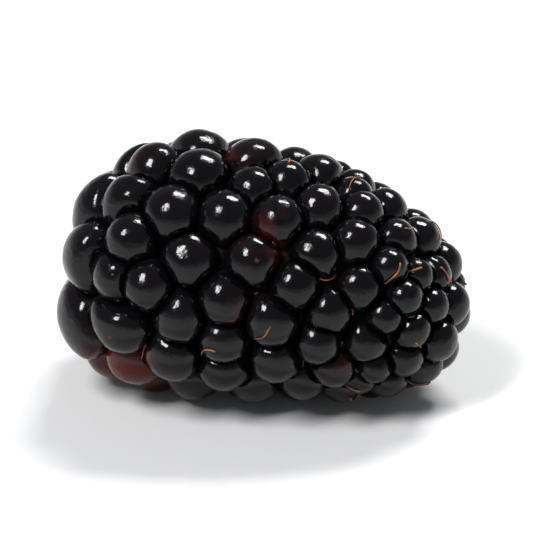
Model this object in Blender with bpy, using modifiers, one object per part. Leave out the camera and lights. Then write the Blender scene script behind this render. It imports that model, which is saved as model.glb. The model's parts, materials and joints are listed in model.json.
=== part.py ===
# A bramble berry lying on its side. Glossy drupelets are packed round a pale receptacle,
# with the stalk end towards -X and the tip towards +X. Units are metres and +Z is up.
# The origin is on the surface that the berry rests on, under the middle of the berry.

import math
import random

import bmesh
import bpy
import numpy as np
from mathutils import Matrix, Vector

# Outline of the whole berry, turned about its own axis
LENGTH = 0.0316
WIDTH = 0.0198
TAPER = 0.14  # share by which the tip half is slimmer and the stalk half is fuller
BLUNTNESS = 0.80  # 1 gives an ellipse, and less squares off the ends
SAG = 0.0018  # how far the axis dips at both ends, which straightens the underside

# Drupelets
TIP_SPACING = 0.0028  # centre to centre at the tip
STALK_SPACING = 0.0057  # centre to centre at the stalk end
RING_RADIUS = 0.0065  # centres of the ring of drupelets round the hollow
SEED = 5
SIZE_SPREAD = 0.26  # share by which a drupelet's room varies
RUNT_CHANCE = 0.08
RUNT_SIZE = 0.62
STAND_OUT = 0.00022  # most that one stands proud of the outline, or below it
SPREADING_ROUNDS = 60
SPREADING_STEP = 0.25
SPREADING_REACH = 1.16  # drupelets push each other apart within this many times their room
NEAREST_COUNT = 5  # neighbours whose mean distance sets a drupelet's width
NEAREST_SHARE = 0.6  # of that distance in the width, where the rest is its own room
FULLNESS = 1.17  # width of the free dome over the width that its neighbours leave it
PLUMPNESS = 1.16  # depth of the dome over its width
RING_STRETCH = 1.18  # the ring's drupelets are longer towards the hollow
RING_BAND = 0.06  # radians of theta within which a drupelet is one of the ring
CORNER_POWER = 9  # higher makes flatter sides where drupelets press together
PRESS = 1.04  # neighbours reach this far into each other, so that they fuse
NEIGHBOUR_REACH = 1.75  # spacings within which one drupelet presses on another
DOME_SEGMENTS = 7
DOME_RINGS = 5
RING_DRAW = 0.78  # share of its even place that a ring near the outward pole is drawn to

# Flesh inside, which the drupelets stand out of
CORE_DEPTH = 0.52  # below the outline, in spacings
POLE_MARGIN = 0.01  # radians that the flesh's ends keep off the outline's
CORE_SEGMENTS = 20
CORE_RINGS = 14

# Under-ripe red drupelets, a patch at the stalk end
RED_COUNT = 2
RED_MIDDLE = Vector((-0.0125, -0.0050, -0.0070))  # from the middle of the berry

# Receptacle, whose pale scar shows in the hollow
SCAR_INSET = 0.0034  # from the stalk end of the outline to the rim of the scar
SCAR_DISH = 0.0006
SCAR_RISE = 0.0005  # how far the rim stands out of the flesh at the bottom of the hollow
RECEPTACLE_RADIUS = 0.0029
RECEPTACLE_LENGTH = 0.0080
ROOT_SHAPE = ((1.0, 0.3), (0.80, 0.7), (0.45, 0.95), (0.0, 1.0))  # shares of radius and length
SCAR_SHAPE = ((0.0, -1.0), (0.40, -0.7), (0.68, 0.0), (0.88, -0.2), (1.0, -1.2))  # and of dish
MOUTH_SHARE = 0.7  # of the radius, within which the hole's mouth is flat
TURN_STEPS = 20

# Rest on the surface
LIE_TILT = math.radians(4.0)  # about how far the slimmer tip dips
FLAT_DEPTH = 0.00035  # how far the lowest drupelets are pressed flat
HULL_SEGMENTS = 20
HULL_RINGS = 12

GAP = 0.0003  # between the berry's separate pieces
WELD = 0.000002
SHARP_ANGLE = math.radians(40)

BLACK = ("drupelet_skin_black", (0.010, 0.006, 0.010, 1.0), 0.18)
RED = ("drupelet_skin_red", (0.110, 0.008, 0.010, 1.0), 0.18)
PALE = ("receptacle_flesh", (0.26, 0.22, 0.055, 1.0), 0.60)


def clear_scene():
    for obj in list(bpy.data.objects):
        bpy.data.objects.remove(obj)


def new_collection(name):
    collection = bpy.data.collections.new(name)
    bpy.context.scene.collection.children.link(collection)
    return collection


def new_material(name, colour, roughness):
    material = bpy.data.materials.new(name)
    material.use_nodes = True
    shader = material.node_tree.nodes["Principled BSDF"]
    shader.inputs["Base Color"].default_value = colour
    shader.inputs["Roughness"].default_value = roughness
    shader.inputs["Metallic"].default_value = 0.0
    return material


def outline(theta):
    """Place along the axis, and radius there, from the tip at 0 to the stalk end at pi."""
    half = LENGTH / 2
    cosine = math.cos(theta)
    along = half * math.copysign(abs(cosine) ** BLUNTNESS, cosine)
    radius = WIDTH / 2 * math.sin(theta) ** BLUNTNESS * (1 - TAPER * along / half)
    return along, radius


def outline_angle(along, radius):
    """The theta of the outline nearest to a point beside it."""
    half = LENGTH / 2
    full = WIDTH / 2 * (1 - TAPER * along / half)
    sideways = (radius / full) ** (1 / BLUNTNESS)
    lengthways = math.copysign(abs(along / half) ** (1 / BLUNTNESS), along)
    return math.atan2(sideways, lengthways)


def point_at(theta, phi):
    along, radius = outline(theta)
    return np.array([along, radius * math.cos(phi), radius * math.sin(phi)])


def sagging(point):
    """Where the sag of the axis takes a point."""
    return point - np.array([0, 0, SAG * (point[0] / (LENGTH / 2)) ** 2])


def spacing(theta):
    """Room for one drupelet, centre to centre."""
    share = 0.5 - outline(theta)[0] / LENGTH
    return TIP_SPACING + (STALK_SPACING - TIP_SPACING) * share


def ring_theta():
    """Theta of the ring of drupelets round the hollow."""
    step = 0.002
    theta = math.pi - step
    while outline(theta)[1] < RING_RADIUS:
        theta -= step
    return theta


def spiral(last):
    """Theta and phi of each drupelet, in a golden spiral that gives each its own room."""
    golden = math.pi * (3 - math.sqrt(5))
    steps = 2000
    off_the_tip = 1e-6
    places = []
    count = 0.5
    for step in range(steps):
        here = last * (step + off_the_tip) / steps
        there = last * (step + 1) / steps
        (x0, r0), (x1, r1) = outline(here), outline(there)
        band = math.pi * (r0 + r1) * math.hypot(x1 - x0, r1 - r0)
        count += band / (math.sin(math.pi / 3) * spacing(there) ** 2)
        while len(places) < int(count):
            places.append((there, golden * len(places)))
    return places


def spread(places, rooms, last):
    """Moves the drupelets apart along the outline until each has its room."""
    rooms = np.array(rooms)
    wanted = SPREADING_REACH * (rooms[:, None] + rooms[None, :]) / 2
    others = 1 - np.eye(len(rooms))
    for _ in range(SPREADING_ROUNDS):
        points = np.array([point_at(*place) for place in places])
        apart = points[:, None] - points[None, :]
        distance = np.linalg.norm(apart, axis=2) + np.eye(len(points))
        push = np.clip(wanted / distance - 1, 0, 1) * others
        moved = points + SPREADING_STEP * (apart * push[..., None]).sum(axis=1)
        places = [
            (min(outline_angle(x, math.hypot(y, z)), last), math.atan2(z, y))
            for x, y, z in moved
        ]
    return places


class Drupelet:
    """One drupelet. Its axes point round the berry, towards the stalk end and outward."""

    def __init__(self, theta, phi):
        step = 1e-3
        before, after = point_at(theta - step, phi), point_at(theta + step, phi)
        lengthways = (after - before) / np.linalg.norm(after - before)
        sideways = np.array([0, -math.sin(phi), math.cos(phi)])
        outward = np.cross(lengthways, sideways)
        self.theta = theta
        self.top = sagging(point_at(theta, phi))
        self.axes = np.array([sideways, lengthways, outward])
        self.planes = []

    def fill(self, width, stretch, stand_out):
        """Gives the drupelet its half widths, and its centre one half width below its top."""
        depth = width * PLUMPNESS
        self.halves = np.array([width, width * stretch, depth])
        self.centre = self.top + self.axes[2] * (stand_out - depth)

    def free_radius(self, directions):
        """How far the dome would reach along each direction with no neighbours."""
        return 1 / np.linalg.norm(directions @ self.axes.T / self.halves, axis=-1)

    def press_on(self, other):
        """Notes the flat side that a neighbour leaves this one."""
        apart = other.centre - self.centre
        distance = np.linalg.norm(apart)
        towards = apart / distance
        mine, theirs = self.free_radius(towards), other.free_radius(-towards)
        self.planes.append((towards, distance * mine / (mine + theirs)))

    def surface(self, sphere, grow=0.0):
        """Points of the skin along the directions of a unit sphere."""
        directions = sphere @ self.axes
        tightness = self.free_radius(directions) ** -CORNER_POWER
        for towards, reach in self.planes:
            facing = np.clip(directions @ towards, 0, None) / (reach * PRESS)
            tightness = tightness + facing**CORNER_POWER
        radius = tightness ** (-1 / CORNER_POWER) + grow
        return self.centre + directions * radius[:, None]


def grow_drupelets():
    """Every drupelet in the berry's own frame, with its neighbours pressed on it."""
    draw = random.Random(SEED)
    last = ring_theta()
    places = spiral(last)
    rooms = []
    for theta, _ in places:
        share = RUNT_SIZE
        if draw.random() > RUNT_CHANCE:
            share = 1 + SIZE_SPREAD * draw.uniform(-1, 1)
        rooms.append(spacing(theta) * share)
    drupelets = [Drupelet(*place) for place in spread(places, rooms, last)]
    tops = np.array([one.top for one in drupelets])
    distance = np.linalg.norm(tops[:, None] - tops[None, :], axis=2)
    for one, room, apart in zip(drupelets, rooms, distance, strict=True):
        nearest = np.sort(apart)[1 : NEAREST_COUNT + 1].mean()
        width = FULLNESS * (NEAREST_SHARE * nearest + (1 - NEAREST_SHARE) * room) / 2
        stretch = RING_STRETCH if one.theta > last - RING_BAND else 1.0
        one.fill(width, stretch, STAND_OUT * draw.uniform(-1, 1))
    for i, one in enumerate(drupelets):
        for j, other in enumerate(drupelets):
            reach = NEIGHBOUR_REACH * (rooms[i] + rooms[j]) / 2
            if i != j and distance[i, j] < reach:
                one.press_on(other)
    return drupelets


def sphere_cage(segments, rings):
    cage = bmesh.new()
    bmesh.ops.create_uvsphere(cage, u_segments=segments, v_segments=rings, radius=1)
    return cage


def dome_cage():
    """A unit sphere whose rings are drawn towards the outward pole, which is what shows."""
    cage = sphere_cage(DOME_SEGMENTS, DOME_RINGS)
    for vertex in cage.verts:
        polar = math.acos(max(-1.0, min(1.0, vertex.co.z)))
        drawn = polar * (RING_DRAW + (1 - RING_DRAW) * (polar / math.pi) ** 3)
        turn = math.atan2(vertex.co.y, vertex.co.x)
        across = math.sin(drawn)
        vertex.co = (across * math.cos(turn), across * math.sin(turn), math.cos(drawn))
    return cage


def directions_of(cage):
    return np.array([vertex.co[:] for vertex in cage.verts])


def balance_point():
    """Middle of the berry's weight, which is on its axis."""
    count = 200
    ends = [outline(math.pi * (i + 0.5) / count) for i in range(count)]
    slices = [
        ((x0 + x1) / 2, ((r0 + r1) / 2) ** 2 * (x0 - x1))
        for (x0, r0), (x1, r1) in zip(ends, ends[1:], strict=False)
    ]
    return sum(x * size for x, size in slices) / sum(size for _, size in slices)


def holds(face, balance):
    """Whether the berry stays on this face of its hull: its weight is over it."""
    corners = [vertex.co for vertex in face.verts]
    turns = [
        (after - corner).cross(balance - corner).dot(face.normal)
        for corner, after in zip(corners, corners[1:] + corners[:1], strict=True)
    ]
    return min(turns) > 0


def resting_matrix(drupelets):
    """Lays the berry on the three drupelets nearest to the wanted side that hold its weight."""
    wanted = Matrix.Rotation(LIE_TILT, 3, "Y")
    sphere = sphere_cage(HULL_SEGMENTS, HULL_RINGS)
    points = np.concatenate([one.surface(directions_of(sphere)) for one in drupelets])
    sphere.free()
    hull = bmesh.new()
    for point in points:
        hull.verts.new(point)
    bmesh.ops.convex_hull(hull, input=hull.verts)
    hull.normal_update()
    bmesh.ops.recalc_face_normals(hull, faces=hull.faces)
    balance = Vector((balance_point(), 0, 0))
    steady = [face for face in hull.faces if holds(face, balance)]
    down = max((wanted @ face.normal for face in steady), key=lambda normal: -normal.z)
    turn = down.rotation_difference(Vector((0, 0, -1))).to_matrix() @ wanted
    hull.free()
    points = points @ np.array(turn).T
    low, high = points.min(axis=0), points.max(axis=0)
    shift = Vector((-(low[0] + high[0]) / 2, -(low[1] + high[1]) / 2, -low[2] - FLAT_DEPTH))
    return Matrix.Translation(shift) @ turn.to_4x4()


def object_from(cage, name, collection):
    """An object of this cage, which is used up."""
    cage.normal_update()
    bmesh.ops.recalc_face_normals(cage, faces=cage.faces)
    mesh = bpy.data.meshes.new(name)
    cage.to_mesh(mesh)
    cage.free()
    obj = bpy.data.objects.new(name, mesh)
    collection.objects.link(obj)
    return obj


def dome_object(name, one, collection, matrix, grow=0.0):
    """One drupelet as a sphere whose points are moved out to its skin."""
    cage = dome_cage()
    points = one.surface(directions_of(cage), grow)
    for vertex, point in zip(cage.verts, points, strict=True):
        vertex.co = matrix @ Vector(point)
    return object_from(cage, name, collection)


def core_object(name, collection, matrix):
    """The flesh inside: the outline taken in, and cut off flat at the bottom of the hollow."""
    bottom = SCAR_INSET + SCAR_RISE - LENGTH / 2
    cage = sphere_cage(CORE_SEGMENTS, CORE_RINGS)
    for vertex in cage.verts:
        theta = math.acos(max(-1.0, min(1.0, vertex.co.z)))
        theta = min(max(theta, POLE_MARGIN), math.pi - POLE_MARGIN)
        one = Drupelet(theta, math.atan2(vertex.co.y, vertex.co.x))
        point = one.top - one.axes[2] * CORE_DEPTH * spacing(theta)
        vertex.co = matrix @ Vector((max(point[0], bottom), point[1], point[2]))
    return object_from(cage, name, collection)


def root_profile(grow):
    """Radius and height down the receptacle's side, from the scar's rim at height 0."""
    radius = RECEPTACLE_RADIUS + grow
    bottom = -RECEPTACLE_LENGTH - grow
    return [(r * radius, z * bottom) for r, z in ROOT_SHAPE]


def receptacle_object(name, collection, matrix):
    """The receptacle: a dished scar with a rounded rim, and a tapering root."""
    scar = [(r * RECEPTACLE_RADIUS, z * SCAR_DISH) for r, z in SCAR_SHAPE]
    return turned_object(name, collection, matrix, scar + root_profile(0.0))


def receptacle_room(collection, matrix):
    """The hole that the receptacle sits in, open to the hollow."""
    flat = MOUTH_SHARE * RECEPTACLE_RADIUS
    mouth = [(0.0, 2 * GAP), (flat, 2 * GAP), (RECEPTACLE_RADIUS + GAP, GAP)]
    return turned_object("receptacle_room", collection, matrix, mouth + root_profile(GAP))


def turned_object(name, collection, matrix, profile):
    """A profile of radius and height, turned about the berry's axis at the scar."""
    mesh = bpy.data.meshes.new(name)
    edges = [(i, i + 1) for i in range(len(profile) - 1)]
    mesh.from_pydata([(r, 0.0, z) for r, z in profile], edges, [])
    obj = bpy.data.objects.new(name, mesh)
    collection.objects.link(obj)
    turned = obj.modifiers.new("turned", "SCREW")
    turned.steps = turned.render_steps = TURN_STEPS
    turned.use_merge_vertices = True
    turned.merge_threshold = WELD
    scar = Matrix.Translation(sagging(np.array([SCAR_INSET - LENGTH / 2, 0, 0])))
    obj.matrix_world = matrix @ scar @ Matrix.Rotation(-math.pi / 2, 4, "Y")
    return obj


def surface_below(collection):
    """A slab whose top is the surface that the berry rests on."""
    cage = bmesh.new()
    bmesh.ops.create_cube(cage, size=2 * LENGTH)
    bmesh.ops.translate(cage, verts=cage.verts, vec=(0, 0, -LENGTH))
    return object_from(cage, "surface_below", collection)


def settle(obj):
    """Makes what the object's modifiers give its own mesh."""
    graph = bpy.context.evaluated_depsgraph_get()
    obj.data = bpy.data.meshes.new_from_object(obj.evaluated_get(graph))
    obj.modifiers.clear()


def join(obj, collection):
    """Fuses a collection's objects with obj, and removes them."""
    union = obj.modifiers.new("union", "BOOLEAN")
    union.operation = "UNION"
    union.operand_type = "COLLECTION"
    union.collection = collection
    union.solver = "MANIFOLD"
    settle(obj)
    for used in list(collection.objects):
        bpy.data.objects.remove(used)


def cut(obj, collection):
    """Takes a collection's objects away from obj one by one, and removes them."""
    for cutter in list(collection.objects):
        cutter.hide_render = True
        cutter.display_type = "WIRE"
        difference = obj.modifiers.new("difference", "BOOLEAN")
        difference.operation = "DIFFERENCE"
        difference.object = cutter
        difference.solver = "MANIFOLD"
        settle(obj)
        bpy.data.objects.remove(cutter)


def keep_body(obj):
    """Drops the crumbs and the sealed pockets that joining leaves."""
    cage = bmesh.new()
    cage.from_mesh(obj.data)
    bmesh.ops.remove_doubles(cage, verts=cage.verts, dist=WELD)
    left = set(cage.verts)
    bodies = []
    while left:
        body = set()
        edge = {left.pop()}
        while edge:
            body |= edge
            around = {other for vertex in edge for e in vertex.link_edges for other in e.verts}
            edge = around - body
        left -= body
        bodies.append(body)
    body = max(bodies, key=len)
    crumbs = [vertex for vertex in cage.verts if vertex not in body]
    bmesh.ops.delete(cage, geom=crumbs, context="VERTS")
    cage.to_mesh(obj.data)
    cage.free()


def cut_back(obj, collection, matrix, reds):
    """Cuts obj flat where it rests, and clear of the receptacle and of the red drupelets."""
    surface_below(collection)
    receptacle_room(collection, matrix)
    for i, one in enumerate(reds):
        dome_object(f"red_room_{i}", one, collection, matrix, GAP)
    cut(obj, collection)
    keep_body(obj)


def dress(obj, material):
    obj.data.materials.clear()
    obj.data.materials.append(material)
    obj.data.shade_smooth()
    obj.data.set_sharp_from_angle(angle=SHARP_ANGLE)


def red_and_black(drupelets, matrix):
    """The red patch, nearest to its middle first, and then the rest."""
    middle = np.array(matrix.to_3x3().transposed() @ RED_MIDDLE)
    ranked = sorted(drupelets, key=lambda one: np.linalg.norm(one.top - middle))
    return ranked[:RED_COUNT], ranked[RED_COUNT:]


def black_drupelets(berry, joined, cutting, matrix, blacks, reds):
    obj = core_object("drupelets_black", berry, matrix)
    for i, one in enumerate(blacks):
        dome_object(f"dome_{i}", one, joined, matrix)
    join(obj, joined)
    cut_back(obj, cutting, matrix, reds)
    dress(obj, new_material(*BLACK))


def red_drupelets(berry, joined, cutting, matrix, reds):
    obj = dome_object("drupelets_red", reds[0], berry, matrix)
    for i, one in enumerate(reds[1:]):
        dome_object(f"dome_{i}", one, joined, matrix)
    join(obj, joined)
    cut_back(obj, cutting, matrix, [])
    dress(obj, new_material(*RED))


def main():
    clear_scene()
    berry = new_collection("bramble_berry")
    joined = new_collection("joined")
    cutting = new_collection("cutting")
    drupelets = grow_drupelets()
    matrix = resting_matrix(drupelets)
    reds, blacks = red_and_black(drupelets, matrix)
    black_drupelets(berry, joined, cutting, matrix, blacks, reds)
    red_drupelets(berry, joined, cutting, matrix, reds)
    receptacle = receptacle_object("receptacle", berry, matrix)
    receptacle.data.materials.append(new_material(*PALE))


main()
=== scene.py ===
# Looks of a bramble berry that lies on its side on a white surface, under two softboxes.
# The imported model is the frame. Fine drupelets, a fine receptacle and dried styles are
# grown round it by the same rule. Units are metres and +Z is up.

import json
import math
import random

import bmesh
import bpy
import numpy as np
from mathutils import Matrix, Quaternion, Vector, noise
from mathutils.bvhtree import BVHTree

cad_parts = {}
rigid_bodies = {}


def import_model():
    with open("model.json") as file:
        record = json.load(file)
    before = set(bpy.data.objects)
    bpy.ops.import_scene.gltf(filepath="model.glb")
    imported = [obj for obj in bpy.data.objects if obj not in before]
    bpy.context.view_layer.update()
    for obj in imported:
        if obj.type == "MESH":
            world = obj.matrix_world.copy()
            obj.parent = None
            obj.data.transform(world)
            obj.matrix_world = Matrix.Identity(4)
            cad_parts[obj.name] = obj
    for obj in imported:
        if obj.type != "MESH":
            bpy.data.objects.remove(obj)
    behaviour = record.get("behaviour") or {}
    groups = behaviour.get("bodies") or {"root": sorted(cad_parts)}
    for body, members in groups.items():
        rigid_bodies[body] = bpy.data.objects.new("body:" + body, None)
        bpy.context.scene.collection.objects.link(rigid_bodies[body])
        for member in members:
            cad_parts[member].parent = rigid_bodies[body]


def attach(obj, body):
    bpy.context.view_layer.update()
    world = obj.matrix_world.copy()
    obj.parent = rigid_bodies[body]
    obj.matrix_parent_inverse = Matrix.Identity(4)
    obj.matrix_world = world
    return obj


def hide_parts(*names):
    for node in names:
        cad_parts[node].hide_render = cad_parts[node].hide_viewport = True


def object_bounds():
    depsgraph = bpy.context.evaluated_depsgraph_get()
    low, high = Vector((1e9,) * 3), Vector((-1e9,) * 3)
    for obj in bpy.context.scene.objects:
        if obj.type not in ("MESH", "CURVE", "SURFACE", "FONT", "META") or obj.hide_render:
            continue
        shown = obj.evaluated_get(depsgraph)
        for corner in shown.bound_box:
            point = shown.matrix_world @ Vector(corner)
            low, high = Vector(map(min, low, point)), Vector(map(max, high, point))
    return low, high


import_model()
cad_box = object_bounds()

# Outline of the whole berry, turned about its own axis
LENGTH = 0.0316
WIDTH = 0.0198
TAPER = 0.14  # share by which the tip half is slimmer and the stalk half is fuller
BLUNTNESS = 0.80  # 1 gives an ellipse, and less squares off the ends
SAG = 0.0018  # how far the axis dips at both ends, which straightens the underside

# Drupelets
TIP_SPACING = 0.0028  # centre to centre at the tip
STALK_SPACING = 0.0057  # centre to centre at the stalk end
RING_RADIUS = 0.0065  # centres of the ring of drupelets round the hollow
SEED = 5
SIZE_SPREAD = 0.26  # share by which a drupelet's room varies
RUNT_CHANCE = 0.08
RUNT_SIZE = 0.62
STAND_OUT = 0.00022  # most that one stands proud of the outline, or below it
SPREADING_ROUNDS = 60
SPREADING_STEP = 0.25
SPREADING_REACH = 1.16  # drupelets push each other apart within this many times their room
NEAREST_COUNT = 5  # neighbours whose mean distance sets a drupelet's width
NEAREST_SHARE = 0.6  # of that distance in the width, where the rest is its own room
FULLNESS = 1.17  # width of the free dome over the width that its neighbours leave it
PLUMPNESS = 1.16  # depth of the dome over its width
RING_STRETCH = 1.18  # the ring's drupelets are longer towards the hollow
RING_BAND = 0.06  # radians of theta within which a drupelet is one of the ring
CORNER_POWER = 9  # higher makes flatter sides where drupelets press together
PRESS = 1.04  # neighbours reach this far into each other, so that they fuse
NEIGHBOUR_REACH = 1.75  # spacings within which one drupelet presses on another
FINE_SEGMENTS = 32
FINE_RINGS = 24
RING_CROWDING = 1.35  # above 1, the rings crowd round the outward pole, which is what shows

# Skin of the drupelets
LUMP_SIZE = 0.0016
LUMP_HEIGHT = 0.00004
SCAR_LEAN = math.radians(20)  # most that a style scar leans away from the outward pole
SCAR_WIDTH = (0.00022, 0.00055)
SCAR_DEPTH = (0.00001, 0.00005)  # of the dimple that it sits in
SCAR_FAINTNESS = 1.5  # most by which a scar's brown shrinks, where about 0.6 hides it
BLUSH_CHANCE = 0.12  # of a wine-red cheek on a black drupelet
BLUSH_AMOUNT = (0.20, 0.62)
CHEEK_LEAN = 0.5  # how far outward a cheek faces, over how far sideways
CHEEK_POWER = 3  # higher makes a cheek smaller
PATCH_BLUSH = 0.6  # of the black drupelets next to the red patch
PATCH_REACH = (0.0030, 0.0055)  # from the red patch, over which that blush fades
CREASE_REACH = (0.25, 0.45)  # in half depths above the centre, over which a crease turns glossy
HOLLOW_BLUSH = 0.8  # of the sides that face the hollow
HOLLOW_REACH = (0.0022, 0.0042)  # from the berry's axis, over which that blush fades
HOLLOW_END = -LENGTH / 4  # along the axis, where the hollow's blush stops

# Darkest tone, lightest tone, wine-red cheeks and translucency of each skin
BLACK_SKIN = (
    (0.0015, 0.0012, 0.0017, 1),
    (0.0042, 0.0029, 0.0040, 1),
    (0.062, 0.006, 0.003, 1),
    0.0,
)
RED_SKIN = (
    (0.030, 0.0012, 0.0010, 1),
    (0.110, 0.0060, 0.0040, 1),
    (0.040, 0.0015, 0.0012, 1),
    0.05,
)

# How finely an unevenness is broken up
DETAIL = 2.0
MORE_DETAIL = 3.0
MOST_DETAIL = 4.0

# Shading of the skin, where a size is that of the unevenness over the skin
BLOTCH_SIZE = 0.0011
BLOTCH_EDGE = (0.34, 0.70)  # noise over which a blush sets in
RAG_SIZE = 0.0002
SCAR_EDGE = (0.75, 1.05)  # in scar widths, over which a scar's brown ends
SCAR_BROWN = (0.060, 0.022, 0.010, 1)
SCAR_COVER = 0.8
SHEEN_SIZE = 0.0008
SHEEN_EDGE = (0.3, 0.8)  # noise over which the roughness goes from its least to its most
SKIN_ROUGHNESS = (0.10, 0.19)
SCAR_MATT = 0.5  # how matt a scar is, where a crease is 1
MATT_ROUGHNESS = 0.7  # added where the skin is fully matt
SHINE = (0.5, 0.1)  # strength of the reflections in the open and in a crease
SKIN_IOR = 1.33  # of the juice behind the skin
RIPPLE_SIZE = 0.0006
PORE_SIZE = 0.00012
PORE_SHARE = 0.12  # height of the pores over the height of the ripples
RIPPLE_HEIGHT = 0.00004
GLOW_DEPTH = 0.0012  # how far light spreads under a translucent skin
GLOW_COLOURS = (1.0, 0.12, 0.08)  # how far red, green and blue light go, in glow depths

# Flesh inside, which the drupelets stand out of
CORE_DEPTH = 0.52  # below the outline, in spacings
POLE_MARGIN = 0.01  # radians of theta that the flesh's ends keep off the outline's
CORE_SEGMENTS = 40
CORE_RINGS = 28

# Under-ripe red drupelets, a patch at the stalk end
RED_COUNT = 2
RED_MIDDLE = Vector((-0.0125, -0.0050, -0.0070))  # from the middle of the berry

# Receptacle, whose pale scar shows in the hollow
SCAR_INSET = 0.0034  # from the stalk end of the outline to the rim of the scar
SCAR_DISH = 0.0006
SCAR_RISE = 0.0005  # how far the rim stands out of the flesh at the bottom of the hollow
RECEPTACLE_RADIUS = 0.0029
RECEPTACLE_LENGTH = 0.0080
ROOT_SHAPE = ((1.0, 0.3), (0.80, 0.7), (0.45, 0.95), (0.0, 1.0))  # shares of radius and length
SCAR_SHAPE = ((0.0, -1.0), (0.40, -0.7), (0.68, 0.0), (0.88, -0.2), (1.0, -1.2))  # and of dish
MOUTH_SHARE = 0.7  # of the radius, within which the hole's mouth is flat
TURN_STEPS = 72
SCAR_BANDS = 14  # rings of faces across the scar
SCAR_GRAIN = 0.0007
GRAIN_LAYERS = (1.0, 2.0, 3)  # how the grain's layers fade, shrink, and how many there are
SCAR_ROUGHNESS = 0.00016
SCAR_PEAK = 0.4  # most that the grain rises, in roughnesses
FLESH_TONES = ((0.16, 0.15, 0.030, 1), (0.44, 0.38, 0.13, 1))
SPECKLE_SIZE = 0.0005
SPECKLE_EDGE = (0.35, 0.65)
STAIN_COLOUR = (0.20, 0.06, 0.03, 1)
STAIN_SIZE = 0.0014
STAIN_EDGE = (0.5, 0.7)
FLESH_ROUGHNESS = (0.45, 0.75)
FIBRE_SIZE = 0.00025
FIBRE_HEIGHT = 0.00010

# Dried styles, thin threads that lie on the skin
STYLE_CHANCE = 0.24  # of a whole style that still hangs on its scar, at the tip
STYLE_LENGTH = (0.0011, 0.0031)
SCRAP_CHANCE = 0.40  # of a broken piece caught in the crease round a drupelet
SCRAP_LENGTH = (0.0005, 0.0016)
SCRAP_POLAR = math.radians(68)  # from the outward pole to where a scrap starts
STYLE_RADIUS = (0.00004, 0.00008)
STYLE_TAPER = (1.25, 0.65)  # thickness at the root and just before the end, over the usual one
STYLE_TIP = 0.55  # and at the very end
STYLE_STEPS = 14
STYLE_CURL = math.radians(5)  # usual turn at each step, the same way along the thread
STYLE_WOBBLE = math.radians(9)  # usual turn at each step, either way
STYLE_LIFT = 0.00030  # most that the free end stands off the skin
STYLE_SMOOTHING = 3
FLOOR_ROOM = 0.0010  # no style starts lower than this
STYLE_TONES = ((0.085, 0.028, 0.009, 1), (0.25, 0.105, 0.030, 1))
DRYNESS_SIZE = 0.0009
DRYNESS_EDGE = (0.35, 0.65)
STYLE_SHEEN_SIZE = 0.0004
STYLE_SHEEN_EDGE = (0.3, 0.7)
STYLE_ROUGHNESS = (0.4, 0.7)
WRINKLE_SIZE = 0.00015
WRINKLE_HEIGHT = 0.00003

# Rest on the surface
LIE_TILT = math.radians(4.0)  # about how far the slimmer tip dips
FLAT_DEPTH = 0.00035  # how far the lowest drupelets are pressed flat
HULL_SEGMENTS = 20
HULL_RINGS = 12

GAP = 0.0003  # between the berry's separate pieces
WELD = 0.000002
SHARP_ANGLE = math.radians(40)

# Camera
AZIMUTH = math.radians(8)
ELEVATION = math.radians(27)
DISTANCE = 0.45
VIEW_WIDTH = 0.0400  # seen at the berry
SENSOR = 36.0  # millimetres
CLIP_START = 0.01

# Light: direction from the berry, width, height, roll and radiance of each softbox
LIGHT_DISTANCE = 0.9
BACK_BOX = (Vector((0.22, 0.52, 0.83)), 0.40, 0.22, math.radians(25), 39.0)
FRONT_BOX = (Vector((-0.40, -0.45, 0.80)), 0.22, 0.38, math.radians(20), 41.0)
HORIZON_RADIANCE = 0.85
ZENITH_RADIANCE = 0.22
ROOM_FADE = 0.35  # height, on a unit sphere, above which the room is at its dimmest
ROOM_COLOUR = (0.93, 0.96, 1.0, 1.0)
FLOOR_SIZE = 6.0
FLOOR_TONES = ((0.60, 0.60, 0.60, 1), (0.585, 0.585, 0.595, 1))
FLOOR_BLOTCH_SIZE = 0.05
FLOOR_BLOTCH_EDGE = (0.3, 0.7)
FLOOR_ROUGHNESS = 0.7


def outline(theta):
    """Place along the axis, and radius there, from the tip at 0 to the stalk end at pi."""
    half = LENGTH / 2
    cosine = math.cos(theta)
    along = half * math.copysign(abs(cosine) ** BLUNTNESS, cosine)
    radius = WIDTH / 2 * math.sin(theta) ** BLUNTNESS * (1 - TAPER * along / half)
    return along, radius


def outline_angle(along, radius):
    """The theta of the outline nearest to a point beside it."""
    half = LENGTH / 2
    full = WIDTH / 2 * (1 - TAPER * along / half)
    sideways = (radius / full) ** (1 / BLUNTNESS)
    lengthways = math.copysign(abs(along / half) ** (1 / BLUNTNESS), along)
    return math.atan2(sideways, lengthways)


def point_at(theta, phi):
    along, radius = outline(theta)
    return np.array([along, radius * math.cos(phi), radius * math.sin(phi)])


def dip(along):
    """How far the axis dips at a place along it."""
    return SAG * (along / (LENGTH / 2)) ** 2


def sagging(point):
    """Where the sag of the axis takes a point."""
    return point - np.array([0, 0, dip(point[0])])


def spacing(theta):
    """Room for one drupelet, centre to centre."""
    share = 0.5 - outline(theta)[0] / LENGTH
    return TIP_SPACING + (STALK_SPACING - TIP_SPACING) * share


def ring_theta():
    """Theta of the ring of drupelets round the hollow."""
    step = 0.002
    theta = math.pi - step
    while outline(theta)[1] < RING_RADIUS:
        theta -= step
    return theta


def spiral(last):
    """Theta and phi of each drupelet, in a golden spiral that gives each its own room."""
    golden = math.pi * (3 - math.sqrt(5))
    steps = 2000
    off_the_tip = 1e-6
    places = []
    count = 0.5
    for step in range(steps):
        here = last * (step + off_the_tip) / steps
        there = last * (step + 1) / steps
        (x0, r0), (x1, r1) = outline(here), outline(there)
        band = math.pi * (r0 + r1) * math.hypot(x1 - x0, r1 - r0)
        count += band / (math.sin(math.pi / 3) * spacing(there) ** 2)
        while len(places) < int(count):
            places.append((there, golden * len(places)))
    return places


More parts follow.
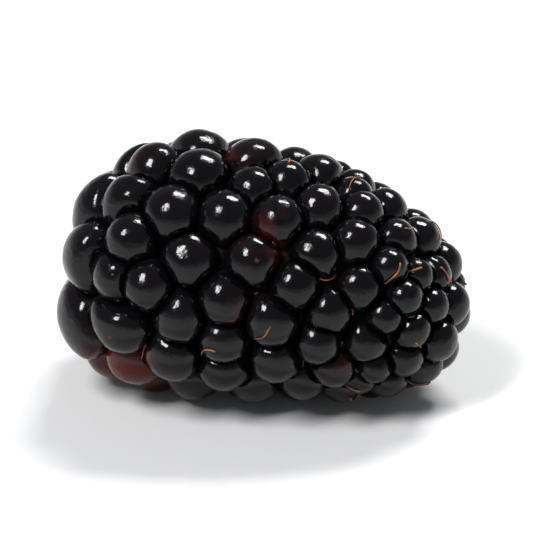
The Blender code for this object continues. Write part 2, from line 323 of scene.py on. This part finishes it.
def spread(places, rooms, last):
    """Moves the drupelets apart along the outline until each has its room."""
    rooms = np.array(rooms)
    wanted = SPREADING_REACH * (rooms[:, None] + rooms[None, :]) / 2
    others = 1 - np.eye(len(rooms))
    for _ in range(SPREADING_ROUNDS):
        points = np.array([point_at(*place) for place in places])
        apart = points[:, None] - points[None, :]
        distance = np.linalg.norm(apart, axis=2) + np.eye(len(points))
        push = np.clip(wanted / distance - 1, 0, 1) * others
        moved = points + SPREADING_STEP * (apart * push[..., None]).sum(axis=1)
        places = [
            (min(outline_angle(x, math.hypot(y, z)), last), math.atan2(z, y))
            for x, y, z in moved
        ]
    return places


class Drupelet:
    """One drupelet. Its axes point round the berry, towards the stalk end and outward."""

    def __init__(self, theta, phi):
        step = 1e-3
        before, after = point_at(theta - step, phi), point_at(theta + step, phi)
        lengthways = (after - before) / np.linalg.norm(after - before)
        sideways = np.array([0, -math.sin(phi), math.cos(phi)])
        outward = np.cross(lengthways, sideways)
        self.theta = theta
        self.top = sagging(point_at(theta, phi))
        self.axes = np.array([sideways, lengthways, outward])
        self.planes = []

    def fill(self, width, stretch, stand_out):
        """Gives the drupelet its half widths, and its centre one half depth below its top."""
        depth = width * PLUMPNESS
        self.halves = np.array([width, width * stretch, depth])
        self.centre = self.top + self.axes[2] * (stand_out - depth)

    def free_radius(self, directions):
        """How far the dome would reach along each direction with no neighbours."""
        return 1 / np.linalg.norm(directions @ self.axes.T / self.halves, axis=-1)

    def press_on(self, other):
        """Notes the flat side that a neighbour leaves this one."""
        apart = other.centre - self.centre
        distance = np.linalg.norm(apart)
        towards = apart / distance
        mine, theirs = self.free_radius(towards), other.free_radius(-towards)
        self.planes.append((towards, distance * mine / (mine + theirs)))

    def surface(self, sphere, grow=0.0):
        """Points of the skin along the directions of a unit sphere."""
        directions = sphere @ self.axes
        tightness = self.free_radius(directions) ** -CORNER_POWER
        for towards, reach in self.planes:
            facing = np.clip(directions @ towards, 0, None) / (reach * PRESS)
            tightness = tightness + facing**CORNER_POWER
        radius = tightness ** (-1 / CORNER_POWER) + grow
        return self.centre + directions * radius[:, None]

    def mark(self, draw):
        """Draws what is this drupelet's own: its style scar, its tone and its blush."""
        lean, turn = SCAR_LEAN * math.sqrt(draw.random()), math.tau * draw.random()
        across = math.sin(lean)
        scar = (across * math.cos(turn), across * math.sin(turn), math.cos(lean))
        self.scar = np.array(scar)
        self.scar_width = draw.uniform(*SCAR_WIDTH)
        self.scar_depth = draw.uniform(*SCAR_DEPTH)
        self.faintness = draw.uniform(0, SCAR_FAINTNESS)
        self.tone = draw.random()
        self.blush = draw.uniform(*BLUSH_AMOUNT) if draw.random() < BLUSH_CHANCE else 0.0
        side = math.tau * draw.random()
        self.cheek = np.array((math.cos(side), math.sin(side), CHEEK_LEAN))

    def skin(self, sphere, grow=0.0):
        """The surface with its faint lumps, and with the dimple that the style grew from."""
        points = self.surface(sphere, grow)
        lumps = [noise.noise(Vector(point) / LUMP_SIZE) for point in points]
        away = np.arccos(np.clip(sphere @ self.scar, -1, 1)) * self.halves[0]
        dimple = self.scar_depth * np.exp(-((away / self.scar_width) ** 2))
        rise = LUMP_HEIGHT * np.array(lumps) - dimple
        return points + (sphere @ self.axes) * rise[:, None]


def grow_drupelets():
    """Every drupelet in the berry's own frame, with its neighbours pressed on it."""
    draw = random.Random(SEED)
    last = ring_theta()
    places = spiral(last)
    rooms = []
    for theta, _ in places:
        share = RUNT_SIZE
        if draw.random() > RUNT_CHANCE:
            share = 1 + SIZE_SPREAD * draw.uniform(-1, 1)
        rooms.append(spacing(theta) * share)
    drupelets = [Drupelet(*place) for place in spread(places, rooms, last)]
    tops = np.array([one.top for one in drupelets])
    distance = np.linalg.norm(tops[:, None] - tops[None, :], axis=2)
    for one, room, apart in zip(drupelets, rooms, distance, strict=True):
        nearest = np.sort(apart)[1 : NEAREST_COUNT + 1].mean()
        width = FULLNESS * (NEAREST_SHARE * nearest + (1 - NEAREST_SHARE) * room) / 2
        stretch = RING_STRETCH if one.theta > last - RING_BAND else 1.0
        one.fill(width, stretch, STAND_OUT * draw.uniform(-1, 1))
    for i, one in enumerate(drupelets):
        for j, other in enumerate(drupelets):
            reach = NEIGHBOUR_REACH * (rooms[i] + rooms[j]) / 2
            if i != j and distance[i, j] < reach:
                one.press_on(other)
    for one in drupelets:
        one.mark(draw)
    return drupelets


def sphere_cage(segments, rings):
    cage = bmesh.new()
    bmesh.ops.create_uvsphere(cage, u_segments=segments, v_segments=rings, radius=1)
    return cage


def fine_cage():
    """A unit sphere whose rings crowd round the outward pole."""
    cage = sphere_cage(FINE_SEGMENTS, FINE_RINGS)
    for vertex in cage.verts:
        polar = math.acos(max(-1.0, min(1.0, vertex.co.z)))
        drawn = math.pi * (polar / math.pi) ** RING_CROWDING
        turn = math.atan2(vertex.co.y, vertex.co.x)
        across = math.sin(drawn)
        vertex.co = (across * math.cos(turn), across * math.sin(turn), math.cos(drawn))
    return cage


def directions_of(cage):
    return np.array([vertex.co[:] for vertex in cage.verts])


def balance_point():
    """Middle of the berry's weight, which is on its axis."""
    count = 200
    ends = [outline(math.pi * (i + 0.5) / count) for i in range(count)]
    slices = [
        ((x0 + x1) / 2, ((r0 + r1) / 2) ** 2 * (x0 - x1))
        for (x0, r0), (x1, r1) in zip(ends, ends[1:], strict=False)
    ]
    return sum(x * size for x, size in slices) / sum(size for _, size in slices)


def holds(face, balance):
    """Whether the berry stays on this face of its hull: its weight is over it."""
    corners = [vertex.co for vertex in face.verts]
    turns = [
        (after - corner).cross(balance - corner).dot(face.normal)
        for corner, after in zip(corners, corners[1:] + corners[:1], strict=True)
    ]
    return min(turns) > 0


def resting_matrix(drupelets):
    """Lays the berry on the three drupelets nearest to the wanted side that hold its weight."""
    wanted = Matrix.Rotation(LIE_TILT, 3, "Y")
    sphere = sphere_cage(HULL_SEGMENTS, HULL_RINGS)
    points = np.concatenate([one.surface(directions_of(sphere)) for one in drupelets])
    sphere.free()
    hull = bmesh.new()
    for point in points:
        hull.verts.new(point)
    bmesh.ops.convex_hull(hull, input=hull.verts)
    hull.normal_update()
    bmesh.ops.recalc_face_normals(hull, faces=hull.faces)
    balance = Vector((balance_point(), 0, 0))
    steady = [face for face in hull.faces if holds(face, balance)]
    down = max((wanted @ face.normal for face in steady), key=lambda normal: -normal.z)
    turn = down.rotation_difference(Vector((0, 0, -1))).to_matrix() @ wanted
    hull.free()
    points = points @ np.array(turn).T
    low, high = points.min(axis=0), points.max(axis=0)
    shift = Vector((-(low[0] + high[0]) / 2, -(low[1] + high[1]) / 2, -low[2] - FLAT_DEPTH))
    return Matrix.Translation(shift) @ turn.to_4x4()


def new_collection(name):
    collection = bpy.data.collections.new(name)
    bpy.context.scene.collection.children.link(collection)
    return collection


def object_from(cage, name, collection):
    """An object of this cage, which is used up."""
    cage.normal_update()
    bmesh.ops.recalc_face_normals(cage, faces=cage.faces)
    mesh = bpy.data.meshes.new(name)
    cage.to_mesh(mesh)
    cage.free()
    obj = bpy.data.objects.new(name, mesh)
    collection.objects.link(obj)
    return obj


def dome_object(name, one, collection, matrix, grow=0.0):
    """One drupelet as a sphere whose points are moved out to its skin."""
    cage = fine_cage()
    points = one.skin(directions_of(cage), grow)
    for vertex, point in zip(cage.verts, points, strict=True):
        vertex.co = matrix @ Vector(point)
    return object_from(cage, name, collection)


def core_object(name, collection, matrix):
    """The flesh inside: the outline taken in, and cut off flat at the bottom of the hollow."""
    bottom = SCAR_INSET + SCAR_RISE - LENGTH / 2
    cage = sphere_cage(CORE_SEGMENTS, CORE_RINGS)
    for vertex in cage.verts:
        theta = math.acos(max(-1.0, min(1.0, vertex.co.z)))
        theta = min(max(theta, POLE_MARGIN), math.pi - POLE_MARGIN)
        one = Drupelet(theta, math.atan2(vertex.co.y, vertex.co.x))
        point = one.top - one.axes[2] * CORE_DEPTH * spacing(theta)
        vertex.co = matrix @ Vector((max(point[0], bottom), point[1], point[2]))
    return object_from(cage, name, collection)


def root_profile(grow):
    """Radius and height down the receptacle's side, from the scar's rim at height 0."""
    radius = RECEPTACLE_RADIUS + grow
    bottom = -RECEPTACLE_LENGTH - grow
    return [(r * radius, z * bottom) for r, z in ROOT_SHAPE]


def scar_profile():
    """Radius and height across the scar: dished, with a rounded rim."""
    reach = np.linspace(0, 1, SCAR_BANDS)
    heights = np.interp(reach, *zip(*SCAR_SHAPE, strict=True))
    return [(r * RECEPTACLE_RADIUS, h * SCAR_DISH) for r, h in zip(reach, heights, strict=True)]


def turned_object(name, collection, matrix, profile):
    """A profile of radius and height, turned about the berry's axis at the scar."""
    mesh = bpy.data.meshes.new(name)
    edges = [(i, i + 1) for i in range(len(profile) - 1)]
    mesh.from_pydata([(r, 0.0, z) for r, z in profile], edges, [])
    obj = bpy.data.objects.new(name, mesh)
    collection.objects.link(obj)
    turned = obj.modifiers.new("turned", "SCREW")
    turned.steps = turned.render_steps = TURN_STEPS
    turned.use_merge_vertices = True
    turned.merge_threshold = WELD
    settle(obj)
    scar = Matrix.Translation(sagging(np.array([SCAR_INSET - LENGTH / 2, 0, 0])))
    obj.data.transform(matrix @ scar @ Matrix.Rotation(-math.pi / 2, 4, "Y"))
    return obj


def receptacle_room(collection, matrix):
    """The hole that the receptacle sits in, open to the hollow."""
    flat = MOUTH_SHARE * RECEPTACLE_RADIUS
    mouth = [(0.0, 2 * GAP), (flat, 2 * GAP), (RECEPTACLE_RADIUS + GAP, GAP)]
    return turned_object("receptacle_room", collection, matrix, mouth + root_profile(GAP))


def surface_below(collection):
    """A slab whose top is the surface that the berry rests on."""
    cage = bmesh.new()
    bmesh.ops.create_cube(cage, size=2 * LENGTH)
    bmesh.ops.translate(cage, verts=cage.verts, vec=(0, 0, -LENGTH))
    return object_from(cage, "surface_below", collection)


def settle(obj):
    """Makes what the object's modifiers give its own mesh."""
    graph = bpy.context.evaluated_depsgraph_get()
    obj.data = bpy.data.meshes.new_from_object(obj.evaluated_get(graph))
    obj.modifiers.clear()


def join(obj, collection):
    """Fuses a collection's objects with obj, and removes them."""
    union = obj.modifiers.new("union", "BOOLEAN")
    union.operation = "UNION"
    union.operand_type = "COLLECTION"
    union.collection = collection
    union.solver = "MANIFOLD"
    settle(obj)
    for used in list(collection.objects):
        bpy.data.objects.remove(used)


def cut(obj, collection):
    """Takes a collection's objects away from obj one by one, and removes them."""
    for cutter in list(collection.objects):
        difference = obj.modifiers.new("difference", "BOOLEAN")
        difference.operation = "DIFFERENCE"
        difference.object = cutter
        difference.solver = "MANIFOLD"
        settle(obj)
        bpy.data.objects.remove(cutter)


def bodies_of(cage):
    """Sets of faces that hang together across edges."""
    left = set(cage.faces)
    bodies = []
    while left:
        body = set()
        rim = {left.pop()}
        while rim:
            body |= rim
            edges = {edge for face in rim for edge in face.edges}
            rim = {face for edge in edges for face in edge.link_faces} - body
        left -= body
        bodies.append(body)
    return bodies


def keep_body(obj):
    """Drops the spare corners, the crumbs and the sealed pockets that joining leaves."""
    cage = bmesh.new()
    cage.from_mesh(obj.data)
    bmesh.ops.remove_doubles(cage, verts=cage.verts, dist=WELD)
    spare = [vertex for vertex in cage.verts if len(vertex.link_edges) == 2]
    bmesh.ops.dissolve_verts(cage, verts=spare)
    bmesh.ops.triangulate(cage, faces=cage.faces)
    body = max(bodies_of(cage), key=len)
    crumbs = [face for face in cage.faces if face not in body]
    bmesh.ops.delete(cage, geom=crumbs, context="FACES")
    bare = [edge for edge in cage.edges if not edge.link_faces]
    bmesh.ops.delete(cage, geom=bare, context="EDGES")
    cage.to_mesh(obj.data)
    cage.free()


def cut_back(obj, collection, matrix, reds):
    """Cuts obj flat where it rests, and clear of the receptacle and of the red drupelets."""
    surface_below(collection)
    receptacle_room(collection, matrix)
    for i, one in enumerate(reds):
        dome_object(f"red_room_{i}", one, collection, matrix, GAP)
    cut(obj, collection)
    keep_body(obj)


def read_all(items, name, width):
    """One property of many mesh items as an array."""
    values = np.empty(len(items) * width, dtype=np.float32)
    items.foreach_get(name, values)
    return values.reshape(-1, width)


def owners(points, drupelets):
    """Which drupelet each point is in or on."""
    nearness = [
        np.linalg.norm((points - one.centre) @ one.axes.T / one.halves, axis=1)
        for one in drupelets
    ]
    return np.argmin(nearness, axis=0)


def fading(distance, near, far):
    """1 up to the near distance, and 0 beyond the far one."""
    return np.clip((far - distance) / (far - near), 0, 1)


def corners_of(mesh, drupelets, matrix):
    """Place of each face corner in the berry's own frame, and the drupelet that it is on."""
    inverse = np.array(matrix.inverted())
    places = read_all(mesh.vertices, "co", 3) @ inverse[:3, :3].T + inverse[:3, 3]
    centres = read_all(mesh.polygons, "center", 3) @ inverse[:3, :3].T + inverse[:3, 3]
    corners = np.empty(len(mesh.loops), dtype=np.int32)
    mesh.loops.foreach_get("vertex_index", corners)
    sides = [len(face.vertices) for face in mesh.polygons]
    return places[corners], np.repeat(owners(centres, drupelets), sides)


def marks_on(one, points, patch):
    """Nearness to the scar, to the crease and to a blush, at points on one drupelet."""
    local = (points - one.centre) @ one.axes.T
    crease = fading(local[:, 2] / one.halves[2], *CREASE_REACH)
    local = local / np.linalg.norm(local, axis=1)[:, None]
    away = np.arccos(np.clip(local @ one.scar, -1, 1)) * one.halves[0]
    scar = away / one.scar_width + one.faintness
    cheek = np.clip(local @ one.cheek, 0, 1) ** CHEEK_POWER * one.blush
    near = np.linalg.norm(points[:, None] - patch[None], axis=2).min(axis=1)
    beside = PATCH_BLUSH * fading(near, *PATCH_REACH)
    return scar, crease, np.maximum(cheek, beside)


def mark_skin(obj, drupelets, matrix, reds):
    """Stores what the skin's shader reads at each face corner."""
    points, owner = corners_of(obj.data, drupelets, matrix)
    patch = np.array([one.top for one in reds])
    scars, tones, blushes, creases = (np.zeros(len(owner)) for _ in range(4))
    for i, one in enumerate(drupelets):
        mine = owner == i
        scars[mine], creases[mine], blushes[mine] = marks_on(one, points[mine], patch)
        tones[mine] = one.tone
    along, sideways, upward = points.T
    inside = HOLLOW_BLUSH * fading(np.hypot(sideways, upward + dip(along)), *HOLLOW_REACH)
    blushes = np.where(along < HOLLOW_END, np.maximum(blushes, inside), blushes)
    marks = {"scar": scars, "tone": tones, "blush": blushes, "crease": creases}
    for name, values in marks.items():
        stored = obj.data.attributes.new(name, "FLOAT", "CORNER")
        stored.data.foreach_set("value", values.astype(np.float32))


def black_drupelets(joined, cutting, matrix, blacks, reds):
    """The black drupelets fused with the flesh inside."""
    obj = core_object("fine_drupelets_black", bpy.context.scene.collection, matrix)
    for i, one in enumerate(blacks):
        dome_object(f"dome_{i}", one, joined, matrix)
    join(obj, joined)
    cut_back(obj, cutting, matrix, reds)
    return obj


def red_drupelets(joined, cutting, matrix, reds):
    """The red drupelets fused with each other."""
    obj = dome_object("fine_drupelets_red", reds[0], bpy.context.scene.collection, matrix)
    for i, one in enumerate(reds[1:]):
        dome_object(f"dome_{i}", one, joined, matrix)
    join(obj, joined)
    cut_back(obj, cutting, matrix, [])
    return obj


def red_and_black(drupelets, matrix):
    """The red patch, nearest to its middle first, and then the rest."""
    middle = np.array(matrix.to_3x3().transposed() @ RED_MIDDLE)
    ranked = sorted(drupelets, key=lambda one: np.linalg.norm(one.top - middle))
    return ranked[:RED_COUNT], ranked[RED_COUNT:]


def fine_receptacle(matrix):
    """The receptacle with a rough, fibrous scar."""
    collection = bpy.context.scene.collection
    profile = scar_profile() + root_profile(0.0)
    obj = turned_object("fine_receptacle", collection, matrix, profile)
    out = (matrix.to_3x3() @ Vector((-1, 0, 0))).normalized()
    for vertex in obj.data.vertices:
        grain = noise.fractal(vertex.co / SCAR_GRAIN, *GRAIN_LAYERS)
        vertex.co += out * SCAR_ROUGHNESS * min(grain, SCAR_PEAK)
    obj.data.shade_smooth()
    return obj


def skin_tree(objects):
    """What the styles lie on, as triangles in an order that is the same each run."""
    triangles = []
    for obj in objects:
        places = [tuple(vertex.co) for vertex in obj.data.vertices]
        for face in obj.data.polygons:
            corners = [places[v] for v in face.vertices]
            first = corners.index(min(corners))
            triangles.append(corners[first:] + corners[:first])
    triangles.sort()
    points = [corner for triangle in triangles for corner in triangle]
    triples = [(i, i + 1, i + 2) for i in range(0, len(points), 3)]
    return BVHTree.FromPolygons(points, triples, all_triangles=True)


def style_path(start, normal, length, tree, draw):
    """Points of a thread that starts here and lies across the skin."""
    heading = normal.orthogonal().normalized()
    heading.rotate(Matrix.Rotation(math.tau * draw.random(), 3, normal))
    step = length / STYLE_STEPS
    curl = draw.gauss(0, STYLE_CURL)
    lift = STYLE_LIFT * draw.random() ** 2
    points = [start]
    on = start
    for i in range(STYLE_STEPS):
        spot, normal, _, _ = tree.find_nearest(on + heading * step)
        points.append(spot + normal * (STYLE_RADIUS[1] + lift * (i / STYLE_STEPS) ** 2))
        heading = (spot - on) - normal * (spot - on).dot(normal)
        heading.normalize()
        heading.rotate(Matrix.Rotation(curl + draw.gauss(0, STYLE_WOBBLE), 3, normal))
        on = spot
    return eased(points, tree)


def eased(points, tree):
    """The thread bridges creases, as a stiff one does, and stays out of the skin."""
    for _ in range(STYLE_SMOOTHING):
        middle = [
            (before + here * 2 + after) / 4
            for before, here, after in zip(points, points[1:], points[2:], strict=False)
        ]
        points = [points[0], *middle, points[-1]]
    for i, point in enumerate(points[1:], 1):
        spot, normal, _, _ = tree.find_nearest(point)
        height = (point - spot).dot(normal)
        if height < STYLE_RADIUS[1]:
            points[i] = point + normal * (STYLE_RADIUS[1] - height)
    return points


def style_starts(drupelets, draw):
    """Drupelet, direction from its centre and length of each thread, most near the tip."""
    starts = []
    for one in drupelets:
        tipwards = 0.5 + outline(one.theta)[0] / LENGTH
        if draw.random() < STYLE_CHANCE * tipwards:
            starts.append((one, one.scar, draw.uniform(*STYLE_LENGTH)))
        if draw.random() < SCRAP_CHANCE:
            turn = math.tau * draw.random()
            across = math.sin(SCRAP_POLAR)
            rim = (across * math.cos(turn), across * math.sin(turn), math.cos(SCRAP_POLAR))
            starts.append((one, np.array(rim), draw.uniform(*SCRAP_LENGTH)))
    return starts


def thread_radius(share):
    """Thickness along a thread from 0 to 1, over its usual thickness."""
    root, end = STYLE_TAPER
    return STYLE_TIP if share == 1 else root + (end - root) * share


def style_threads(drupelets, matrix, tree):
    """Every dried style, as splines of one curve that is then made a mesh."""
    draw = random.Random(SEED)
    curve = bpy.data.curves.new("styles", "CURVE")
    curve.dimensions = "3D"
    curve.bevel_depth = 1.0
    curve.bevel_resolution = 1
    curve.use_fill_caps = True
    for one, direction, length in style_starts(drupelets, draw):
        start = matrix @ Vector(one.skin(direction[None])[0])
        outward = (matrix.to_3x3() @ Vector(direction @ one.axes)).normalized()
        points = style_path(start, outward, length, tree, draw)
        radius = draw.uniform(*STYLE_RADIUS)
        if start.z < FLOOR_ROOM or min(point.z for point in points) < 2 * STYLE_RADIUS[1]:
            continue
        spline = curve.splines.new("POLY")
        spline.points.add(len(points) - 1)
        for i, (knot, point) in enumerate(zip(spline.points, points, strict=True)):
            knot.co = (*point, 1)
            knot.radius = radius * thread_radius(i / (len(points) - 1))
    return mesh_of_curve(curve)


def mesh_of_curve(curve):
    """The curve's tubes as a mesh object, with the caps joined on."""
    obj = bpy.data.objects.new(curve.name, curve)
    bpy.context.scene.collection.objects.link(obj)
    graph = bpy.context.evaluated_depsgraph_get()
    mesh = bpy.data.meshes.new_from_object(obj.evaluated_get(graph))
    bpy.data.objects.remove(obj)
    cage = bmesh.new()
    cage.from_mesh(mesh)
    bmesh.ops.remove_doubles(cage, verts=cage.verts, dist=WELD)
    return object_from(cage, curve.name, bpy.context.scene.collection)


def new_material(name):
    material = bpy.data.materials.new(name)
    material.use_nodes = True
    return material, material.node_tree, material.node_tree.nodes["Principled BSDF"]


def feed(tree, socket, value):
    """Sets a socket to a number or colour, or links it to another node's output."""
    if isinstance(value, bpy.types.NodeSocket):
        tree.links.new(value, socket)
    else:
        socket.default_value = value


def add(tree, kind, inputs, **settings):
    node = tree.nodes.new(kind)
    for name, value in settings.items():
        setattr(node, name, value)
    for name, value in inputs.items():
        feed(tree, node.inputs[name], value)
    return node


def place_in(tree):
    """Coordinates that stay with the piece."""
    return tree.nodes.new("ShaderNodeTexCoord").outputs["Object"]


def noise_of(tree, size, detail=DETAIL):
    """Noise from 0 to 1 whose features are about this size."""
    inputs = {"Vector": place_in(tree), "Scale": 1 / size, "Detail": detail}
    return add(tree, "ShaderNodeTexNoise", inputs).outputs["Fac"]


def attribute(tree, name):
    return add(tree, "ShaderNodeAttribute", {}, attribute_name=name).outputs["Fac"]


def span(tree, value, low, high, start=0.0, end=1.0):
    """The value from low to high, as a smooth step from start to end."""
    inputs = {"Value": value, "From Min": low, "From Max": high, "To Min": start, "To Max": end}
    node = add(tree, "ShaderNodeMapRange", inputs, interpolation_type="SMOOTHSTEP")
    return node.outputs["Result"]


def maths(tree, operation, first, second):
    node = tree.nodes.new("ShaderNodeMath")
    node.operation = operation
    feed(tree, node.inputs[0], first)
    feed(tree, node.inputs[1], second)
    return node.outputs["Value"]


def mixed(tree, share, first, second):
    """Two colours, with share of the second."""
    node = tree.nodes.new("ShaderNodeMix")
    node.data_type = "RGBA"
    factor, first_socket, second_socket = (s for s in node.inputs if s.enabled)
    feed(tree, factor, share)
    feed(tree, first_socket, first)
    feed(tree, second_socket, second)
    return next(s for s in node.outputs if s.enabled)


def bumped(tree, height, distance):
    """The normal of a surface that this height, from 0 to 1, raises by up to the distance."""
    inputs = {"Height": height, "Distance": distance, "Strength": 1.0}
    return add(tree, "ShaderNodeBump", inputs).outputs["Normal"]


def skin_material(name, dark, light, wine, translucency):
    """Glossy skin with a blush, a brown scar where the style was, and faint unevenness."""
    material, tree, shader = new_material(name)
    crease = attribute(tree, "crease")
    ragged = maths(tree, "ADD", attribute(tree, "scar"), noise_of(tree, RAG_SIZE))
    dead = span(tree, ragged, *SCAR_EDGE, 1.0, 0.0)

    tone = maths(tree, "MULTIPLY", attribute(tree, "tone"), noise_of(tree, BLOTCH_SIZE))
    colour = mixed(tree, tone, dark, light)
    blotches = span(tree, noise_of(tree, BLOTCH_SIZE), *BLOTCH_EDGE)
    blush = maths(tree, "MULTIPLY", attribute(tree, "blush"), blotches)
    colour = mixed(tree, blush, colour, wine)
    colour = mixed(tree, maths(tree, "MULTIPLY", dead, SCAR_COVER), colour, SCAR_BROWN)

    sheen = span(tree, noise_of(tree, SHEEN_SIZE, MORE_DETAIL), *SHEEN_EDGE, *SKIN_ROUGHNESS)
    matt = maths(tree, "MAXIMUM", maths(tree, "MULTIPLY", dead, SCAR_MATT), crease)
    roughness = maths(tree, "ADD", sheen, maths(tree, "MULTIPLY", matt, MATT_ROUGHNESS))

    pores = maths(tree, "MULTIPLY", noise_of(tree, PORE_SIZE), PORE_SHARE)
    height = maths(tree, "ADD", noise_of(tree, RIPPLE_SIZE), pores)

    feed(tree, shader.inputs["Base Color"], colour)
    feed(tree, shader.inputs["Roughness"], roughness)
    feed(tree, shader.inputs["Normal"], bumped(tree, height, RIPPLE_HEIGHT))
    feed(tree, shader.inputs["Specular IOR Level"], span(tree, crease, 0.0, 1.0, *SHINE))
    shader.inputs["IOR"].default_value = SKIN_IOR
    shader.inputs["Subsurface Weight"].default_value = translucency
    shader.inputs["Subsurface Radius"].default_value = GLOW_COLOURS
    shader.inputs["Subsurface Scale"].default_value = GLOW_DEPTH
    return material


def receptacle_material():
    """Speckled, fibrous flesh with a few juice stains."""
    material, tree, shader = new_material("receptacle_flesh_fine")
    speckle = span(tree, noise_of(tree, SPECKLE_SIZE, MOST_DETAIL), *SPECKLE_EDGE)
    stain = span(tree, noise_of(tree, STAIN_SIZE), *STAIN_EDGE)
    colour = mixed(tree, stain, mixed(tree, speckle, *FLESH_TONES), STAIN_COLOUR)
    fibres = noise_of(tree, FIBRE_SIZE, MOST_DETAIL)
    feed(tree, shader.inputs["Base Color"], colour)
    feed(tree, shader.inputs["Roughness"], span(tree, speckle, 0.0, 1.0, *FLESH_ROUGHNESS))
    feed(tree, shader.inputs["Normal"], bumped(tree, fibres, FIBRE_HEIGHT))
    return material


def style_material():
    """Dry thread, from dark to light brown."""
    material, tree, shader = new_material("dried_style")
    dryness = span(tree, noise_of(tree, DRYNESS_SIZE), *DRYNESS_EDGE)
    sheen = noise_of(tree, STYLE_SHEEN_SIZE)
    roughness = span(tree, sheen, *STYLE_SHEEN_EDGE, *STYLE_ROUGHNESS)
    wrinkles = noise_of(tree, WRINKLE_SIZE, MORE_DETAIL)
    feed(tree, shader.inputs["Base Color"], mixed(tree, dryness, *STYLE_TONES))
    feed(tree, shader.inputs["Roughness"], roughness)
    feed(tree, shader.inputs["Normal"], bumped(tree, wrinkles, WRINKLE_HEIGHT))
    return material


def finish_piece(obj, material, node):
    """Gives a piece its material, its body and the node that it takes the place of."""
    obj.data.materials.clear()
    obj.data.materials.append(material)
    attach(obj, "root")
    if node:
        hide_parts(node)


def add_camera(target):
    """A camera that looks at the target from the photograph's side and height."""
    camera = bpy.data.cameras.new("camera")
    camera.sensor_width = SENSOR
    camera.lens = SENSOR * DISTANCE / VIEW_WIDTH
    camera.clip_start = CLIP_START
    obj = bpy.data.objects.new("camera", camera)
    across = math.cos(ELEVATION)
    back = Vector(
        (math.sin(AZIMUTH) * across, -math.cos(AZIMUTH) * across, math.sin(ELEVATION))
    )
    obj.location = target + back * DISTANCE
    obj.rotation_euler = (-back).to_track_quat("-Z", "Y").to_euler()
    bpy.context.scene.collection.objects.link(obj)
    bpy.context.scene.camera = obj


def add_softbox(name, target, direction, width, height, roll, radiance):
    """A lit rectangle that faces the target. Its power follows from its radiance and area."""
    light = bpy.data.lights.new(name, "AREA")
    light.shape = "RECTANGLE"
    light.size = width
    light.size_y = height
    light.energy = radiance * math.pi * width * height
    obj = bpy.data.objects.new(name, light)
    obj.location = target + direction.normalized() * LIGHT_DISTANCE
    facing = (-direction).to_track_quat("-Z", "Y")
    obj.rotation_euler = (facing @ Quaternion((0, 0, 1), roll)).to_euler()
    bpy.context.scene.collection.objects.link(obj)


def add_world():
    """A dim room, brighter near the horizon than overhead."""
    world = bpy.data.worlds.new("dim_room")
    world.use_nodes = True
    tree = world.node_tree
    background = tree.nodes["Background"]
    direction = tree.nodes.new("ShaderNodeTexCoord").outputs["Generated"]
    height = add(tree, "ShaderNodeSeparateXYZ", {"Vector": direction}).outputs["Z"]
    glow = span(tree, height, 0.0, ROOM_FADE, HORIZON_RADIANCE, ZENITH_RADIANCE)
    background.inputs["Color"].default_value = ROOM_COLOUR
    feed(tree, background.inputs["Strength"], glow)
    bpy.context.scene.world = world


def add_floor():
    """The plain white surface that the berry rests on."""
    material, tree, shader = new_material("white_surface")
    blotches = span(tree, noise_of(tree, FLOOR_BLOTCH_SIZE), *FLOOR_BLOTCH_EDGE)
    feed(tree, shader.inputs["Base Color"], mixed(tree, blotches, *FLOOR_TONES))
    shader.inputs["Roughness"].default_value = FLOOR_ROUGHNESS
    bpy.ops.mesh.primitive_plane_add(size=FLOOR_SIZE)
    floor = bpy.context.object
    floor.name = "floor"
    floor.data.materials.append(material)


def build_berry():
    """Every visible piece of the berry."""
    joined = new_collection("joined")
    cutting = new_collection("cutting")
    drupelets = grow_drupelets()
    matrix = resting_matrix(drupelets)
    reds, blacks = red_and_black(drupelets, matrix)
    black = black_drupelets(joined, cutting, matrix, blacks, reds)
    red = red_drupelets(joined, cutting, matrix, reds)
    for obj in (black, red):
        mark_skin(obj, drupelets, matrix, reds)
        obj.data.shade_smooth()
        obj.data.set_sharp_from_angle(angle=SHARP_ANGLE)
    styles = style_threads(drupelets, matrix, skin_tree((black, red)))
    styles.data.shade_smooth()
    receptacle = fine_receptacle(matrix)
    black_skin = skin_material("black_skin_fine", *BLACK_SKIN)
    red_skin = skin_material("red_skin_fine", *RED_SKIN)
    finish_piece(black, black_skin, "drupelets_black")
    finish_piece(red, red_skin, "drupelets_red")
    finish_piece(receptacle, receptacle_material(), "receptacle")
    finish_piece(styles, style_material(), None)


low, high = (Vector(corner) for corner in cad_box)
middle = (low + high) / 2
build_berry()
add_floor()
add_world()
add_softbox("back_softbox", middle, *BACK_BOX)
add_softbox("front_softbox", middle, *FRONT_BOX)
add_camera(middle)
bpy.context.scene.view_settings.view_transform = "Standard"
